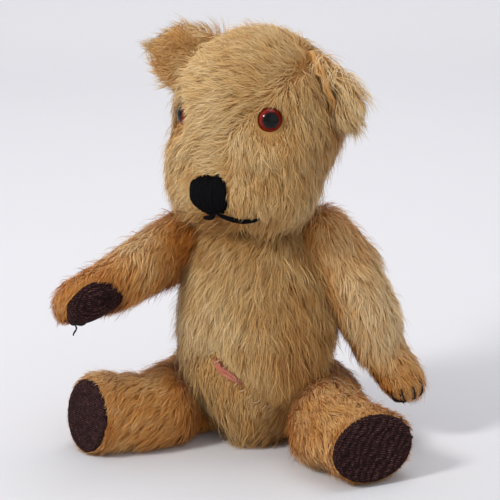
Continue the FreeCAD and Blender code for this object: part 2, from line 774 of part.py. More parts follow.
torso_shell = cut_all("torso_shell", torso_trimmed("torso_skin", 0.0),
                      [torso_trimmed("torso_lining", -size("cloth"))] + torso_openings)
finished(torso_shell, "torso_cover")
torso_filling = cut_all("torso_filling",
                        torso_trimmed("torso_wool", -size("cloth") - size("slack")), rooms)
finished(torso_filling, "torso_stuffing")

torso_band = stitch_band("torso_band", torso_bag)
mend_start = Vector(-15.5, -39.0, 60.0)
mend_end = Vector(14.4, -36.0, 28.5)
MEND_STITCHES = 9
mend_places = []
for number in range(MEND_STITCHES):
    point = mend_start + (mend_end - mend_start) * (number / (MEND_STITCHES - 1))
    mend_places.append(Placement(point, turned(Y_AXIS, -32 if number % 2 else -58)))
finished(stitches("belly_mend", torso_band, mend_places, *MEND_STITCH), "belly_mend_stitches")

BACK_STITCHES = 14
seam_places = []
for number in range(BACK_STITCHES):
    height = size("torso_height") * (0.22 + 0.58 * number / (BACK_STITCHES - 1))
    seam_places.append(Placement(Vector(0, 34.0, height), turned(Y_AXIS, 12)))
finished(stitches("back_seam", torso_band, seam_places, *SEAM_STITCH), "back_seam_stitches")


# ---------------------------------------------------------------- checks and files

doc.recompute()
broken = [item.Name for item in doc.Objects if {"Invalid", "Error"} & set(item.State)]
if broken:
    raise RuntimeError("failed objects: " + ", ".join(broken))
for item in subparts:
    if item.Shape.isNull() or not item.Shape.isValid() or not item.Shape.Solids:
        raise RuntimeError("bad shape: " + item.Label)

for item in subparts:
    item.Shape.exportStep("parts/%s.step" % item.Label)
print("%d sub-parts written" % len(subparts))
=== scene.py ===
import json
import math
from collections import namedtuple

import bmesh
import bpy
import numpy as np
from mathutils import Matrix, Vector
from mathutils.bvhtree import BVHTree
from mathutils.kdtree import KDTree


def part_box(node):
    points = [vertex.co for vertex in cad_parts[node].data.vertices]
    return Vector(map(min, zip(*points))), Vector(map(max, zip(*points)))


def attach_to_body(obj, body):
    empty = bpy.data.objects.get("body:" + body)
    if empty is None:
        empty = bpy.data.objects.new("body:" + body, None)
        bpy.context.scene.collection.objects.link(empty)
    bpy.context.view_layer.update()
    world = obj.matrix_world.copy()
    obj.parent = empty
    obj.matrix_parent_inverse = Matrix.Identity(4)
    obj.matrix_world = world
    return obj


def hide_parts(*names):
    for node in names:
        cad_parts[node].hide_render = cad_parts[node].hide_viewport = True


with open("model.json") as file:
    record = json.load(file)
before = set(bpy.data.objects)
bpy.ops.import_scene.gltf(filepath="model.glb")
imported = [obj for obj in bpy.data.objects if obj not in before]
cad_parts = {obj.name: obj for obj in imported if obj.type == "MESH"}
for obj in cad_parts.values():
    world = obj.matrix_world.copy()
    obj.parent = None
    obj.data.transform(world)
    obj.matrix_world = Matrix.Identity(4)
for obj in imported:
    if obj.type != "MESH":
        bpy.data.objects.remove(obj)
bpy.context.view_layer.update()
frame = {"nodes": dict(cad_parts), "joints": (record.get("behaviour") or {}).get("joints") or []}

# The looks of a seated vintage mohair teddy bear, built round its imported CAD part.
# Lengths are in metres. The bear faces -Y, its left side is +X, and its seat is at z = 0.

MM = 0.001
DOWN = np.array([0.0, 0.0, -1.0])
HEAD_TURN = math.radians(-13)
VIEW_AZIMUTH = math.radians(17.5)
VIEW_ELEVATION = math.radians(15)
EYE_RADIUS = 7.0 * MM

# The covers' filling: a cloth simulation of this many frames, and the furthest that a vertex may move.
FILLING_FRAMES = 20
FILLING_CAP = 1.6 * MM

# The mohair's strands: how wide each is at its widest, how steeply it leaves the cloth, how strongly
# a lock draws its strands together, how far locks lean apart, and how many stand off wildly.
STRAND_WIDTH = 0.31 * MM
STRAND_LIFT = 0.60
STRANDS_IN_A_LOCK = 22
LOCK_PULL = 0.27
LOCK_STRAY = 0.16
WILD_SHARE = 0.06


# ---------------- materials


def colour(red, green, blue):
    """A screen colour, 0 to 255, as the linear colour that shaders take."""
    def linear(value):
        value /= 255
        return value / 12.92 if value <= 0.04045 else ((value + 0.055) / 1.055) ** 2.4
    return (linear(red), linear(green), linear(blue), 1.0)


class Surface:
    """A node material with one Principled shader, and short ways to add nodes to it."""

    def __init__(self, name):
        self.material = bpy.data.materials.new(name)
        self.material.use_nodes = True
        self.nodes = self.material.node_tree.nodes
        self.links = self.material.node_tree.links
        self.shader = self.nodes["Principled BSDF"]

    def give(self, socket, value):
        if isinstance(value, bpy.types.NodeSocket):
            self.links.new(value, socket)
        else:
            socket.default_value = value

    def node(self, kind, inputs=None, **properties):
        made = self.nodes.new("ShaderNode" + kind)
        for key, value in properties.items():
            setattr(made, key, value)
        for key, value in (inputs or {}).items():
            self.give(made.inputs[key], value)
        return made

    def set(self, **values):
        for key, value in values.items():
            self.give(self.shader.inputs[key.replace("_", " ")], value)

    def ramp(self, factor, stops):
        made = self.node("ValToRGB", {"Fac": factor})
        elements = made.color_ramp.elements
        while len(elements) < len(stops):
            elements.new(0.5)
        for element, (place, value) in zip(elements, stops):
            element.position = place
            element.color = value
        return made.outputs["Color"]

    def times(self, one, other):
        made = self.node("Mix", data_type="RGBA", blend_type="MULTIPLY")
        made.inputs["Factor"].default_value = 1.0
        self.links.new(one, made.inputs["A"])
        self.links.new(other, made.inputs["B"])
        return made.outputs["Result"]

    def place(self):
        """Where the point is on the object, in metres, whatever the pose."""
        return self.node("TexCoord").outputs["Object"]

    def noise(self, scale, detail=3.0, roughness=0.55, vector=None):
        vector = vector or self.place()
        inputs = {"Vector": vector, "Scale": scale, "Detail": detail, "Roughness": roughness}
        return self.node("TexNoise", inputs).outputs["Fac"]

    def bump(self, height, strength, distance):
        inputs = {"Height": height, "Strength": strength, "Distance": distance}
        return self.node("Bump", inputs).outputs["Normal"]


def grey(value):
    return (value, value, value, 1.0)


def mohair(name, stops):
    """Mohair strands. On the strand map, U is the strand's tone and V runs from root to tip."""
    s = Surface(name)
    strand_map = s.node("UVMap", uv_map="OFBake").outputs["UV"]
    split = s.node("SeparateXYZ", {"Vector": strand_map})
    tone, along = split.outputs["X"], split.outputs["Y"]
    base = s.ramp(tone, stops)
    # Painted shade: each strand darkens and warms towards its root, standing in for shade deep in the
    # coat and for light passing through the strands.
    shade = s.ramp(along, [(0.0, (1.0, 0.74, 0.45, 1.0)), (0.35, (1.0, 0.87, 0.70, 1.0)),
                           (0.75, grey(1.0)), (1.0, grey(1.0))])
    streaks = s.node("TexNoise", {"Vector": strand_map, "Scale": 160.0, "Detail": 2.0})
    flecks = s.ramp(streaks.outputs["Fac"], [(0.3, grey(0.9)), (0.7, grey(1.0))])
    s.set(Base_Color=s.times(s.times(base, shade), flecks), Roughness=0.45,
          Specular_IOR_Level=0.4, Sheen_Weight=0.2, Sheen_Roughness=0.4)
    return s.material


def backing(name, light, dark):
    """The woven cloth that the mohair stands in: fine threads both ways, and worn, uneven colour."""
    s = Surface(name)
    where = s.place()
    split = s.node("SeparateXYZ", {"Vector": where})
    around = s.node("Math", {0: split.outputs["X"], 1: split.outputs["Y"]}, operation="ADD")
    warp = s.node("TexWave", {"Vector": where, "Scale": 420.0, "Distortion": 1.5}, bands_direction="Z")
    weft_place = s.node("CombineXYZ", {"X": around.outputs[0]}).outputs["Vector"]
    weft = s.node("TexWave", {"Vector": weft_place, "Scale": 420.0, "Distortion": 1.5})
    weave = s.node("Math", {0: warp.outputs["Fac"], 1: weft.outputs["Fac"]}, operation="MULTIPLY")
    patches = s.ramp(s.noise(60.0), [(0.3, dark), (0.7, light)])
    threads = s.ramp(weave.outputs[0], [(0.0, grey(0.72)), (0.6, grey(1.0))])
    s.set(Base_Color=s.times(patches, threads), Roughness=0.9, Specular_IOR_Level=0.2,
          Normal=s.bump(weave.outputs[0], 0.5, 0.0003))
    return s.material


def pad_cloth():
    """Dark purple-brown woven cloth: fine uneven threads over and under each other, paler flecks."""
    s = Surface("pad_cloth")
    where = s.place()
    bends = s.node("TexNoise", {"Vector": where, "Scale": 90.0, "Detail": 2.0}).outputs["Color"]
    shift = s.node("VectorMath", {0: bends, "Scale": 0.0022}, operation="SCALE").outputs["Vector"]
    bent = s.node("VectorMath", {0: where, 1: shift}, operation="ADD").outputs["Vector"]
    tilted = s.node("Mapping", {"Vector": bent, "Rotation": (0.0, 0.0, 0.6)}).outputs["Vector"]
    rows = s.node("TexWave", {"Vector": bent, "Scale": 270.0, "Distortion": 3.0}, bands_direction="Z")
    columns = s.node("TexWave", {"Vector": tilted, "Scale": 270.0, "Distortion": 3.0},
                     bands_direction="X")
    weave = s.node("Math", {0: rows.outputs["Fac"], 1: columns.outputs["Fac"]}, operation="MULTIPLY")
    flecks = s.noise(700.0, 4.0, 0.75)
    base = s.ramp(weave.outputs[0], [(0.0, colour(36, 20, 20)), (0.5, colour(58, 36, 36)),
                                     (1.0, colour(86, 58, 55))])
    worn = s.ramp(flecks, [(0.34, grey(0.3)), (0.52, grey(1.0)), (0.66, grey(2.6))])
    broad = s.ramp(s.noise(110.0), [(0.3, grey(0.78)), (0.7, grey(1.1))])
    height = s.node("Math", {0: weave.outputs[0], 1: flecks}, operation="ADD")
    s.set(Base_Color=s.times(s.times(base, worn), broad), Roughness=0.9, Specular_IOR_Level=0.08,
          Normal=s.bump(height.outputs[0], 0.8, 0.0005))
    return s.material


def thread(name, dark, light, scale=1400.0, shine=0.3):
    """Thread or wool: fine fibres, darker between them, with uneven lumps."""
    s = Surface(name)
    fibres = s.noise(scale, 4.0, 0.65)
    lumps = s.noise(scale / 6)
    s.set(Base_Color=s.times(s.ramp(fibres, [(0.3, dark), (0.7, light)]),
                             s.ramp(lumps, [(0.3, grey(0.7)), (0.7, grey(1.0))])),
          Roughness=0.85, Specular_IOR_Level=shine, Normal=s.bump(fibres, 0.7, 0.0003))
    return s.material


def pressed_board():
    s = Surface("hardboard")
    fibres = s.noise(900.0, 6.0, 0.7)
    s.set(Base_Color=s.ramp(fibres, [(0.25, colour(88, 60, 38)), (0.75, colour(138, 102, 68))]),
          Roughness=0.75, Normal=s.bump(fibres, 0.4, 0.0002))
    return s.material


def drawn_steel():
    s = Surface("steel")
    scratches = s.noise(2200.0, 4.0, 0.7)
    dull = s.noise(240.0)
    s.set(Base_Color=s.ramp(dull, [(0.3, colour(120, 116, 110)), (0.7, colour(178, 176, 172))]),
          Roughness=0.38, Metallic=1.0, Normal=s.bump(scratches, 0.15, 0.0001))
    return s.material


def shredded_wood():
    """Wood wool: long curled shavings pressed together."""
    s = Surface("wood_wool")
    curls = s.node("TexWave", {"Vector": s.place(), "Scale": 120.0, "Distortion": 14.0, "Detail": 3.0,
                               "Detail Scale": 2.0})
    shavings = s.ramp(curls.outputs["Fac"], [(0.1, colour(150, 116, 70)), (0.8, colour(216, 190, 140))])
    s.set(Base_Color=shavings, Roughness=0.8, Normal=s.bump(curls.outputs["Fac"], 0.8, 0.0008))
    return s.material


def amber_glass(name, centre, axis):
    """A glass eye with an amber back: the colour changes with the distance from the eye's axis."""
    s = Surface(name)
    offset = s.node("VectorMath", {0: s.place(), 1: tuple(-x for x in centre)}, operation="ADD")
    cross = s.node("VectorMath", {0: offset.outputs["Vector"], 1: tuple(axis)}, operation="CROSS_PRODUCT")
    away = s.node("VectorMath", {0: cross.outputs["Vector"]}, operation="LENGTH")
    reach = s.node("Math", {0: away.outputs["Value"], 1: EYE_RADIUS}, operation="DIVIDE")
    ring = s.ramp(reach.outputs[0], [
        (0.0, colour(1, 1, 1)), (0.53, colour(2, 1, 1)), (0.60, colour(40, 5, 2)),
        (0.72, colour(104, 15, 4)), (0.84, colour(134, 27, 8)), (0.93, colour(76, 11, 4)),
        (1.0, colour(24, 5, 3))])
    cloudy = s.ramp(s.noise(520.0, 2.0), [(0.3, grey(0.72)), (0.7, grey(1.15))])
    s.set(Base_Color=s.times(ring, cloudy), Roughness=0.3, Specular_IOR_Level=0.05,
          Coat_Weight=0.4, Coat_Roughness=0.02, Coat_IOR=1.5)
    return s.material


PALE_STOPS = [(0.0, colour(228, 202, 154)), (0.25, colour(212, 178, 120)), (0.5, colour(198, 152, 88)),
              (0.75, colour(178, 122, 56)), (1.0, colour(136, 86, 36))]
GOLDEN_STOPS = [(0.0, colour(238, 214, 168)), (0.25, colour(228, 190, 132)), (0.5, colour(216, 156, 80)),
                (0.75, colour(200, 126, 48)), (1.0, colour(156, 92, 34))]

MOHAIR_PALE = mohair("mohair_pale", PALE_STOPS)
MOHAIR_GOLDEN = mohair("mohair_golden", GOLDEN_STOPS)
BACKING_PALE = backing("backing_pale", colour(206, 158, 96), colour(176, 126, 68))
BACKING_GOLDEN = backing("backing_golden", colour(208, 148, 80), colour(176, 114, 52))
BACKING_WORN = backing("backing_worn", colour(222, 172, 108), colour(196, 140, 76))
BACKING_PINK = backing("backing_pink", colour(214, 146, 118), colour(194, 114, 92))
PAD_CLOTH = pad_cloth()
BLACK_WOOL = thread("black_wool", colour(3, 3, 4), colour(20, 19, 22), 2600.0, 0.05)
BLACK_THREAD = thread("black_thread", colour(12, 12, 13), colour(44, 42, 44), 3200.0, 0.35)
PALE_THREAD = thread("pale_thread", colour(176, 140, 96), colour(226, 200, 160), 3200.0, 0.3)
HARDBOARD = pressed_board()
STEEL = drawn_steel()
WOOD_WOOL = shredded_wood()
PUPIL_BLACK = thread("pupil_black", colour(4, 4, 5), colour(12, 12, 13), 300.0, 0.7)


# ---------------- mesh helpers


def attach(ob, body, slot, *nodes):
    """A piece rides on its body and stands for these CAD nodes. slot is not used."""
    if nodes:
        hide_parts(*nodes)
    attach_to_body(ob, body)


def paint(mesh, material):
    mesh.materials.clear()
    mesh.materials.append(material)


def new_object(name, mesh, material):
    ob = bpy.data.objects.new(name, mesh)
    bpy.context.scene.collection.objects.link(ob)
    paint(mesh, material)
    return ob


def in_threes(items, attribute, kind=float):
    """One attribute of each item, three numbers to a row."""
    found = np.zeros(len(items) * 3, kind)
    items.foreach_get(attribute, found)
    return found.reshape(-1, 3)


def coordinates(mesh):
    return in_threes(mesh.vertices, "co")


def set_coordinates(mesh, places):
    mesh.vertices.foreach_set("co", places.ravel())
    mesh.update()


def vertex_normals(mesh):
    return in_threes(mesh.vertex_normals, "vector")


def triangles(mesh):
    mesh.calc_loop_triangles()
    return in_threes(mesh.loop_triangles, "vertices", int)


def unit(vectors):
    return vectors / np.maximum(np.linalg.norm(vectors, axis=-1, keepdims=True), 1e-12)


def dot(one, other):
    return (one * other).sum(-1)


def step(value, low, high):
    """0 below low, 1 above high, smooth between."""
    t = np.clip((value - low) / (high - low), 0, 1)
    return t * t * (3 - 2 * t)


def wobble(places, size, seed):
    """A smooth random field from about -1 to 1, whose lumps are about this size."""
    rng = np.random.default_rng(seed)
    waves = unit(rng.normal(size=(6, 3))) * (2.2 / size)
    shifts = rng.uniform(0, 2 * math.pi, 6)
    return np.sin(places @ waves.T + shifts).sum(1) / 3.2


def joined(obs):
    """The corners and triangles of these objects together, as plain lists."""
    corners, faces, start = [], [], 0
    for ob in obs:
        places = coordinates(ob.data)
        corners.append(places)
        faces.append(triangles(ob.data) + start)
        start += len(places)
    return np.vstack(corners).tolist(), np.vstack(faces).tolist()


def tree_of(*obs):
    """A search tree over the surfaces of these objects."""
    return BVHTree.FromPolygons(*joined(obs))


def gap_to(tree, places, furthest=0.03):
    """How far each place is from the tree's surface, up to a furthest distance."""
    found = np.full(len(places), furthest)
    for number, place in enumerate(places.tolist()):
        hit = tree.find_nearest(place, furthest)
        if hit[0] is not None:
            found[number] = hit[3]
    return found


def outer_skin(name, nodes, voxel, smoothing, material):
    """One even, closed surface round these CAD nodes, without what is inside it."""
    corners, faces = joined([frame["nodes"][node] for node in nodes])
    rough = bpy.data.meshes.new(name)
    rough.from_pydata(corners, [], faces)
    ob = new_object(name, rough, material)
    remesh = ob.modifiers.new("Remesh", "REMESH")
    remesh.mode = "VOXEL"
    remesh.voxel_size = voxel
    even = bpy.data.meshes.new_from_object(ob.evaluated_get(bpy.context.evaluated_depsgraph_get()))
    ob.modifiers.clear()
    ob.data = even
    paint(even, material)
    keep_largest(even)
    relax(even, smoothing)
    even.polygons.foreach_set("use_smooth", [True] * len(even.polygons))
    bpy.data.meshes.remove(rough)
    return ob


def keep_largest(mesh):
    """Removes every separate shell except the one that is widest and tallest."""
    work = bmesh.new()
    work.from_mesh(mesh)
    shells, seen = [], set()
    for first in work.verts:
        if first in seen:
            continue
        shell, waiting = [], [first]
        seen.add(first)
        while waiting:
            vertex = waiting.pop()
            shell.append(vertex)
            for edge in vertex.link_edges:
                other = edge.other_vert(vertex)
                if other not in seen:
                    seen.add(other)
                    waiting.append(other)
        shells.append(shell)
    shells.sort(key=lambda shell: max(v.co.z for v in shell) - min(v.co.z for v in shell)
                + max(v.co.x for v in shell) - min(v.co.x for v in shell))
    for shell in shells[:-1]:
        bmesh.ops.delete(work, geom=shell, context="VERTS")
    work.to_mesh(mesh)
    work.free()


def relax(mesh, rounds):
    """Evens the surface out by moving each vertex towards its neighbours, out and back."""
    work = bmesh.new()
    work.from_mesh(mesh)
    work.verts.ensure_lookup_table()
    edges = np.array([[e.verts[0].index, e.verts[1].index] for e in work.edges])
    work.free()
    places = coordinates(mesh)
    count = np.zeros(len(places))
    np.add.at(count, edges.ravel(), 1)
    for number in range(rounds * 2):
        total = np.zeros_like(places)
        np.add.at(total, edges[:, 0], places[edges[:, 1]])
        np.add.at(total, edges[:, 1], places[edges[:, 0]])
        share = 0.55 if number % 2 == 0 else -0.56
        places = places + share * (total / count[:, None] - places)
    set_coordinates(mesh, places)


def swell(obs, still):
    """Cloth simulation: each cover is filled under pressure and settles. still gives, for each object,
    how firmly each vertex is held, from 0 to 1. No vertex moves further than the cap."""
    before = {}
    for ob in obs:
        before[ob.name] = coordinates(ob.data)
        group = ob.vertex_groups.new(name="still")
        for index, weight in enumerate(still(ob, before[ob.name])):
            group.add([index], float(weight), "REPLACE")
        cloth = ob.modifiers.new("Cloth", "CLOTH")
        cloth.settings.quality = 6
        cloth.settings.mass = 0.02
        cloth.settings.tension_stiffness = 12
        cloth.settings.compression_stiffness = 12
        cloth.settings.shear_stiffness = 6
        cloth.settings.bending_stiffness = 0.3
        cloth.settings.use_pressure = True
        cloth.settings.uniform_pressure_force = 4.0
        cloth.settings.vertex_group_mass = "still"
        cloth.settings.effector_weights.gravity = 0.0
        cloth.collision_settings.use_collision = False
        cloth.point_cache.frame_start = 1
        cloth.point_cache.frame_end = FILLING_FRAMES
    for number in range(1, FILLING_FRAMES + 1):
        bpy.context.scene.frame_set(number)
    depsgraph = bpy.context.evaluated_depsgraph_get()
    for ob in obs:
        settled = coordinates(ob.evaluated_get(depsgraph).data)
        moved = np.nan_to_num(settled - before[ob.name])
        far = np.linalg.norm(moved, axis=1, keepdims=True)
        moved *= np.minimum(1, FILLING_CAP / np.maximum(far, 1e-9))
        ob.modifiers.clear()
        ob.vertex_groups.clear()
        set_coordinates(ob.data, before[ob.name] + moved)
    bpy.context.scene.frame_set(1)


# ---------------- threads


def stitch_lines(node, count=7):
    """The middle line of each separate stitch of a CAD piece."""
    mesh = frame["nodes"][node].data
    places, same = np.unique(np.round(coordinates(mesh), 6), axis=0, return_inverse=True)
    corners = same.ravel()[triangles(mesh)]
    label = np.arange(len(places))
    while True:
        lowest = label.copy()
        np.minimum.at(lowest, corners.ravel(), np.repeat(label[corners].min(1), 3))
        if (lowest == label).all():
            break
        label = lowest
    lines = []
    for key in np.unique(label):
        own = places[label == key]
        middle = (own.min(0) + own.max(0)) / 2
        way = np.linalg.svd(own - own.mean(0))[2][0]
        reach = np.abs((own - middle) @ way).max()
        lines.append(middle + np.linspace(-reach, reach, count)[:, None] * way)
    return lines


def laid(line, tree, lift):
    """Lays a line over a surface, lifted in its middle and drawn into the cloth at its ends."""
    line = np.asarray(line, float)
    made = []
    for place, share in zip(line, np.sin(np.linspace(0, math.pi, len(line))) ** 0.5):
        spot, normal = tree.find_nearest(Vector(place))[:2]
        made.append(np.array(spot) + np.array(normal) * (lift * share - 0.5 * MM * (1 - share)))
    return np.array(made)


def smooth_line(corners, count):
    """A smooth line of count places through a few corners."""
    corners = np.asarray(corners, float)
    rough = np.linspace(0, len(corners) - 1, count)
    line = np.stack([np.interp(rough, np.arange(len(corners)), column) for column in corners.T], 1)
    for _ in range(2):
        line[1:-1] = (line[:-2] + 2 * line[1:-1] + line[2:]) / 4
    return line


def tubes(name, lines, radius, material, ends=0.45):
    """A mesh of round threads along these lines, thinner towards their ends."""
    sides, verts, faces = 8, [], []
    angles = np.arange(sides) * 2 * math.pi / sides
    for line in lines:
        ways = unit(np.gradient(line, axis=0))
        first = unit(np.cross(ways, [0.31, 0.22, 0.93]))
        second = np.cross(ways, first)
        thick = radius * (ends + (1 - ends) * np.sin(np.linspace(0, math.pi, len(line))) ** 0.6)
        start = len(verts)
        for place, one, other, size in zip(line, first, second, thick):
            verts.extend(place + size * (math.cos(a) * one + math.sin(a) * other) for a in angles)
        for ring in range(len(line) - 1):
            for k in range(sides):
                a, b = start + ring * sides + k, start + ring * sides + (k + 1) % sides
                faces.append((a, b, b + sides, a + sides))
        last = start + (len(line) - 1) * sides
        faces.append(tuple(start + k for k in reversed(range(sides))))
        faces.append(tuple(last + k for k in range(sides)))
    mesh = bpy.data.meshes.new(name)
    mesh.from_pydata([tuple(v) for v in verts], [], faces)
    mesh.polygons.foreach_set("use_smooth", [True] * len(faces))
    return new_object(name, mesh, material)


# ---------------- mohair


# What one piece's mohair is like: each field is a function of the strands' root places and normals.
# density is in strands per square mm, comb is the way the strands lie, and tone runs from 0, pale, to 1.
Groom = namedtuple("Groom", "density length comb tone")


def scatter(mesh, groom, rng):
    """Roots and normals of the strands, spread over the mesh by the groom's density."""
    places, normals, corners = coordinates(mesh), vertex_normals(mesh), triangles(mesh)
    a, b, c = (places[corners[:, k]] for k in range(3))
    area = np.linalg.norm(np.cross(b - a, c - a), axis=1) / 2 / MM ** 2
    wanted = area * groom.density((a + b + c) / 3, unit(normals[corners].sum(1)))
    total = int(wanted.sum())
    drawn = (np.arange(total) + rng.random(total)) * wanted.sum() / total
    chosen = np.minimum(np.searchsorted(np.cumsum(wanted), drawn), len(corners) - 1)
    u, v = rng.random(total), rng.random(total)
    over = u + v > 1
    u[over], v[over] = 1 - u[over], 1 - v[over]
    shares = np.stack([1 - u - v, u, v], 1)[:, :, None]
    roots = (places[corners[chosen]] * shares).sum(1)
    return roots, unit((normals[corners[chosen]] * shares).sum(1))


def grow(roots, normals, groom, rng, floor):
    """The four points of each strand's centre line, from root to tip. Strands lie in locks that bend
    together, and a few wild ones stand off."""
    count = len(roots)
    comb = groom.comb(roots, normals)
    comb = unit(comb - normals * dot(comb, normals)[:, None])
    side = np.cross(normals, comb)
    length = groom.length(roots, normals) * rng.uniform(0.70, 1.15, count)

    number_of_locks = max(4, count // STRANDS_IN_A_LOCK)
    centres = rng.choice(count, number_of_locks, replace=False)
    finder = KDTree(number_of_locks)
    for index, centre in enumerate(centres):
        finder.insert(roots[centre], index)
    finder.balance()
    lock = np.array([finder.find(place)[1] for place in roots.tolist()])
    to_centre = roots[centres[lock]] - roots
    lean = rng.normal(0, LOCK_STRAY, (number_of_locks, 2))[lock] + rng.normal(0, 0.08, (count, 2))
    wave = rng.normal(0, 0.34, number_of_locks)[lock] + rng.normal(0, 0.12, count)
    wild = rng.random(count) < WILD_SHARE
    wave = np.where(wild, wave * 2.2, wave)[:, None]
    wild = wild[:, None]

    points = [roots - normals * 0.3 * MM]
    rise = np.array([1.0, 0.42, 0.06]) * STRAND_LIFT
    run = np.array([0.6, 0.95, 1.0])
    swing = np.array([1.0, -0.55, -0.75])
    for k in range(3):
        way = (normals * (rise[k] + lean[:, 1:] * 0.4 + wild * (0.7 - 0.25 * k))
               + comb * run[k]
               + side * (lean[:, :1] + wave * swing[k])
               + DOWN * 0.12 * k)
        pull = to_centre / length[:, None] * LOCK_PULL * (0.15, 0.5, 0.9)[k]
        way = unit(way) + pull * (1 - wild)
        points.append(points[-1] + way * (length / 3)[:, None] * (1 + 0.2 * wild))
    points = np.stack(points, 1)
    points[:, :, 2] = np.maximum(points[:, :, 2], floor + rng.uniform(0.2, 1.2, (count, 1)) * MM)
    return points


def ribbons(name, points, normals, tones, material, rng):
    """A mesh of tapering ribbons along these centre lines, with the strand map."""
    count = len(points)
    ways = np.gradient(points, axis=1)
    flat = unit(np.cross(ways, normals[:, None, :]) + 1e-9)
    upright = unit(np.cross(ways, flat))
    roll = rng.normal(0, 0.38, count)[:, None, None]
    across = flat * np.cos(roll) + upright * np.sin(roll)
    widths = (STRAND_WIDTH * rng.uniform(0.75, 1.25, count))[:, None] * np.array([0.85, 1.0, 0.75, 0.0])
    half = across * widths[:, :, None] / 2
    left, right = points - half, points + half
    verts = np.stack([left[:, 0], right[:, 0], left[:, 1], right[:, 1], left[:, 2], right[:, 2],
                      points[:, 3]], 1).reshape(-1, 3)
    pattern = np.array([0, 1, 3, 2, 2, 3, 5, 4, 4, 5, 6])
    loops = (np.arange(count)[:, None] * 7 + pattern).ravel()
    starts = (np.arange(count)[:, None] * 11 + np.array([0, 4, 8])).ravel()

    mesh = bpy.data.meshes.new(name)
    mesh.vertices.add(len(verts))
    mesh.vertices.foreach_set("co", verts.ravel())
    mesh.loops.add(len(loops))
    mesh.loops.foreach_set("vertex_index", loops)
    mesh.polygons.add(len(starts))
    mesh.polygons.foreach_set("loop_start", starts)
    mesh.update(calc_edges=True)
    mesh.polygons.foreach_set("use_smooth", np.ones(len(starts), bool))

    along = np.array([0.02, 0.02, 0.34, 0.34, 0.68, 0.68, 0.98])[pattern]
    strand_map = np.empty((count, 11, 2))
    strand_map[:, :, 0] = np.clip(tones, 0.01, 0.99)[:, None] + rng.uniform(-0.004, 0.004, (count, 11))
    strand_map[:, :, 1] = along
    layer = mesh.uv_layers.new(name="OFBake")
    layer.data.foreach_set("uv", strand_map.ravel())
    return new_object(name, mesh, material)


def fur(name, skin, body, slot, material, groom, seed, floor=-1.0, pieces=1):
    """Covers a skin with mohair, as one piece or several side by side. No strand goes below the floor."""
    rng = np.random.default_rng(seed)
    roots, normals = scatter(skin.data, groom, rng)
    points = grow(roots, normals, groom, rng, floor)
    tones = groom.tone(roots, normals) + rng.normal(0, 0.075, len(roots))
    order = np.argsort(roots[:, 0] + roots[:, 1] * 0.3, kind="stable")
    for number, part in enumerate(np.array_split(order, pieces)):
        label = name if pieces == 1 else f"{name}_{number + 1}"
        attach(ribbons(label, points[part], normals[part], tones[part], material, rng), body, slot)


# ---------------- covers

HEAD_BACK = np.array([[math.cos(HEAD_TURN), -math.sin(HEAD_TURN), 0],
                      [math.sin(HEAD_TURN), math.cos(HEAD_TURN), 0],
                      [0, 0, 1]])


def in_head(places):
    """Places in the head's own frame, where the snout points to -Y."""
    return places @ HEAD_BACK


def from_head(vectors):
    return vectors @ HEAD_BACK.T


VOXEL = 2.2 * MM
torso = outer_skin("torso_skin", ["torso_cover", "torso_stuffing"], VOXEL, 4, BACKING_PALE)
head = outer_skin("head_skin", ["head_cover", "head_stuffing"], VOXEL, 4, BACKING_PALE)
PAD_OF = {"arm": "paw", "leg": "foot"}
JOINT_OF = {"arm": "shoulder", "leg": "hip"}
limbs, pads, ears = {}, {}, {}
for word in ("left", "right"):
    for part, pad in PAD_OF.items():
        nodes = [f"{word}_{part}_cover", f"{word}_{part}_stuffing", f"{word}_{pad}_pad"]
        limbs[word, part] = outer_skin(f"{word}_{part}_skin", nodes, 1.8 * MM, 4, BACKING_GOLDEN)
        pads[word, part] = outer_skin(f"{word}_{pad}_cloth", nodes[2:], 0.8 * MM, 3, PAD_CLOTH)
    ears[word] = outer_skin(f"{word}_ear_skin", [f"{word}_ear"], 1.6 * MM, 4, BACKING_PALE)


def joint_place(name):
    return next(np.array(joint["pos_m"]) for joint in frame["joints"] if joint["name"] == name)


def middle_of(node):
    low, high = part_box(node)
    return (np.array(low) + np.array(high)) / 2


def limb_axis(word, part):
    """Where a limb starts, the way from there to its pad, and how far that is."""
    start = joint_place(f"{word}_{JOINT_OF[part]}")
    end = middle_of(f"{word}_{PAD_OF[part]}_pad")
    return start, unit(end - start), float(np.linalg.norm(end - start))


def reshape(ob, shift):
    """Moves each vertex of a soft cover by what shift gives for its place and normal."""
    places, normals = coordinates(ob.data), vertex_normals(ob.data)
    set_coordinates(ob.data, places + shift(places, normals))


def settled_head(places, normals):
    """Slimmer low down behind the cheeks, a fuller snout; the cover stays put round the eyes."""
    x, y, z = in_head(places).T
    low = 1 - step(z, 146 * MM, 192 * MM)
    slim = -0.24 * low * step(y, -24 * MM, 2 * MM)
    full = step(-y, 6 * MM, 30 * MM) * step(z, 138 * MM, 150 * MM) * (1 - step(z, 200 * MM, 222 * MM))
    stay = np.ones(len(places))
    for word in ("left", "right"):
        away = np.linalg.norm(places - middle_of(f"{word}_eye"), axis=1)
        stay *= step(away, 9 * MM, 20 * MM)
    moved = np.stack([x * (slim + 0.05 * full), np.maximum(y, 0) * slim + y * 0.05 * full, 0 * z], 1)
    return from_head(moved * stay[:, None])


def settled_ear(word):
    """The right ear stands further out, the left one droops with its top drawn in."""
    def shift(places, normals):
        x, y, z = places.T
        if word == "right":
            return np.stack([np.minimum(x + 30 * MM, 0) * 0.30, 0 * y, 0 * z], 1)
        top = step(z, 203 * MM, 230 * MM)
        return np.stack([-8 * MM * top * step(x, 38 * MM, 56 * MM), -2 * MM * top, -2 * MM * top], 1)
    return shift


def settled_arm(places, normals):
    """The left arm's stuffing bulges outwards in its upper half."""
    start, way, reach = limb_axis("left", "arm")
    out = dot(places - start, way) / reach
    bulge = step(out, -0.05, 0.25) * (1 - step(out, 0.5, 0.85))
    return normals * (5.5 * MM * bulge * step(normals[:, 0], 0.0, 0.8))[:, None]


